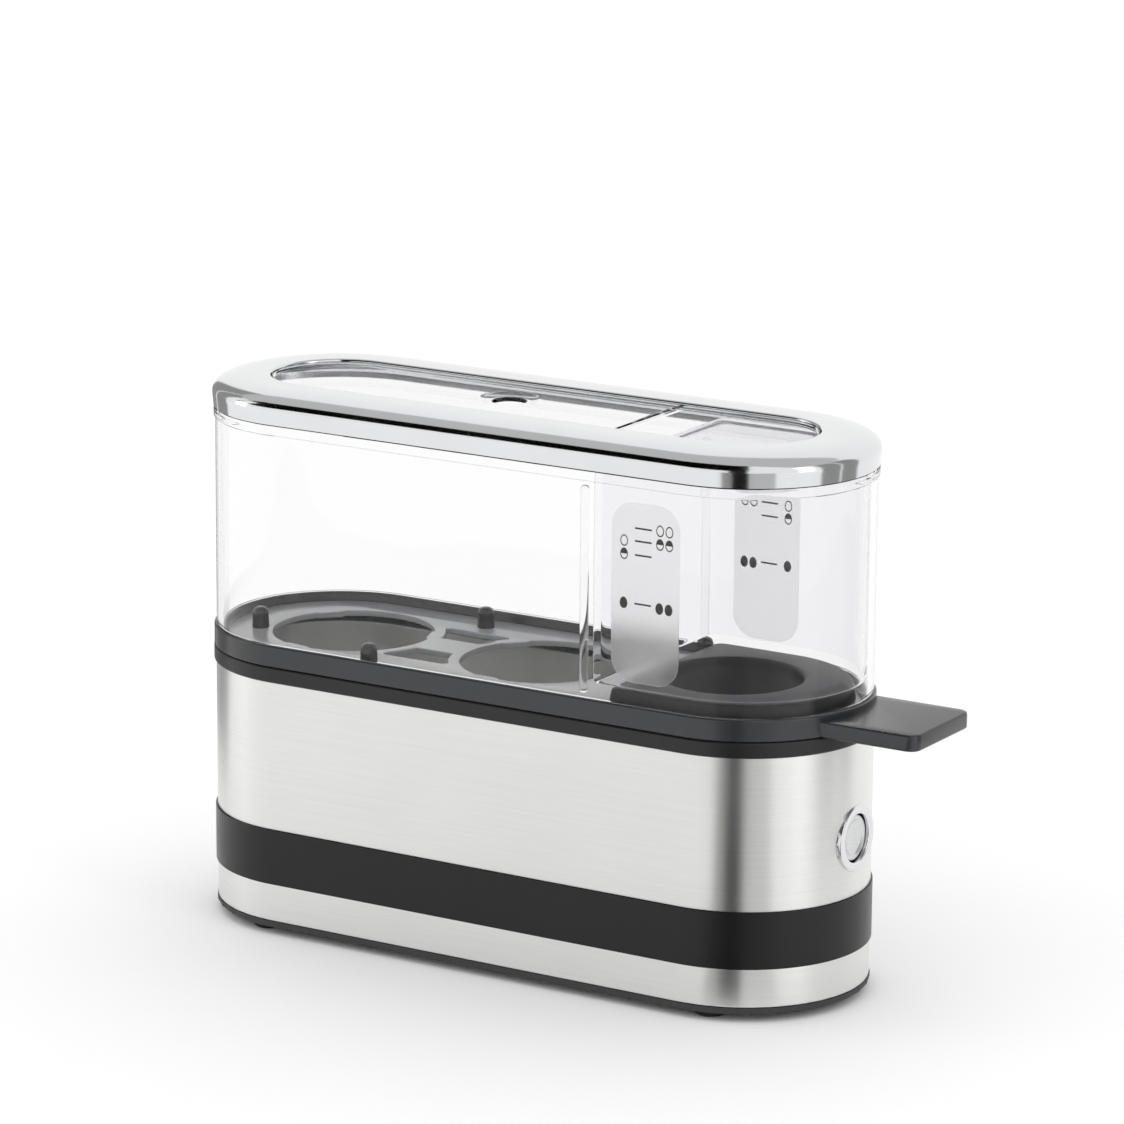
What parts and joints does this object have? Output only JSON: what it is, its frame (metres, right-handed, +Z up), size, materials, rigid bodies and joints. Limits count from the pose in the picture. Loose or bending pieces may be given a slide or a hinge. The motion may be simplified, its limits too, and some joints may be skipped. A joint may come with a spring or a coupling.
{
  "type": "egg cooker",
  "caption": "Slim oblong electric egg cooker: steel-sleeved base with a round button, egg tray with flat handle, clear hood with plated cap ring and measuring vessel.",
  "frame": {"origin": "on the table, under the middle of the bounding box, which is 11.4 mm from the middle of the base towards the handle", "axes": "+X along the length, towards the handle and the button; +Y across, towards the back, where the lead goes in; +Z up"},
  "size_m": [0.209, 0.0652, 0.1425],
  "materials": {
    "brushed_steel": "fine horizontal brushing, satin",
    "black_plastic": "satin black, faint moulding texture",
    "rim_plastic": "satin dark grey",
    "tray_plastic": "satin dark grey, finely textured top",
    "inner_plastic": "plain moulded",
    "rubber": "matt",
    "zinc_steel": "zinc plated",
    "dish_steel": "satin with a faint coating",
    "element_steel": "annealed sheath",
    "white_ceramic": "glazed",
    "satin_chrome": "satin chrome ring",
    "button_metal": "satin, turned",
    "spring_steel": "drawn wire",
    "board_green": "solder mask",
    "white_plastic": "plain moulded",
    "wire_brown": "insulation",
    "wire_grey": "insulation",
    "wire_blue": "insulation",
    "needle_steel": "ground point",
    "clear_plastic": "clear, polished",
    "clear_vessel": "clear, polished, frosted scale panels",
    "chrome_plate": "mirror"
  },
  "bodies": {
    "base": {"bottom_plate": "inner_plastic", "foot_front_left": "rubber", "foot_front_right": "rubber", "foot_rear_left": "rubber", "foot_rear_right": "rubber", "screw_front_left": "zinc_steel", "screw_front_right": "zinc_steel", "screw_rear_left": "zinc_steel", "screw_rear_right": "zinc_steel", "lower_sleeve": "brushed_steel", "chassis_band": "black_plastic", "cable_gland": "rubber", "upper_sleeve": "brushed_steel", "top_rim": "rim_plastic", "heating_dish": "dish_steel", "heating_element": "element_steel", "thermostat": "zinc_steel", "thermal_fuse": "white_ceramic", "button_bezel": "satin_chrome", "button_spring": "spring_steel", "switch_body": "inner_plastic", "circuit_board": "board_green", "buzzer": "inner_plastic", "terminal_block": "white_plastic", "wire_to_switch": "wire_brown", "wire_to_heater": "wire_grey", "wire_from_heater": "wire_blue"},
    "button": {"power_button": "button_metal"},
    "tray": {"egg_tray": "tray_plastic", "piercing_needle": "needle_steel"},
    "hood": {"hood": "clear_plastic", "cap_ring": "chrome_plate", "measuring_vessel": "clear_vessel"}
  },
  "joints": [
    {"name": "tray_lift", "type": "slide", "parent": "base", "child": "tray", "axis": [0, 0, 1], "range_m": [0, 0.045]},
    {"name": "hood_lift", "type": "slide", "parent": "tray", "child": "hood", "axis": [0, 0, 1], "range_m": [0, 0.075]},
    {"name": "button_press", "type": "slide", "parent": "base", "child": "button", "axis": [-1, 0, 0], "range_m": [0, 0.002], "stiffness_N_per_m": 300, "springref_m": -0.002, "deforming": ["button_spring"]}
  ]
}
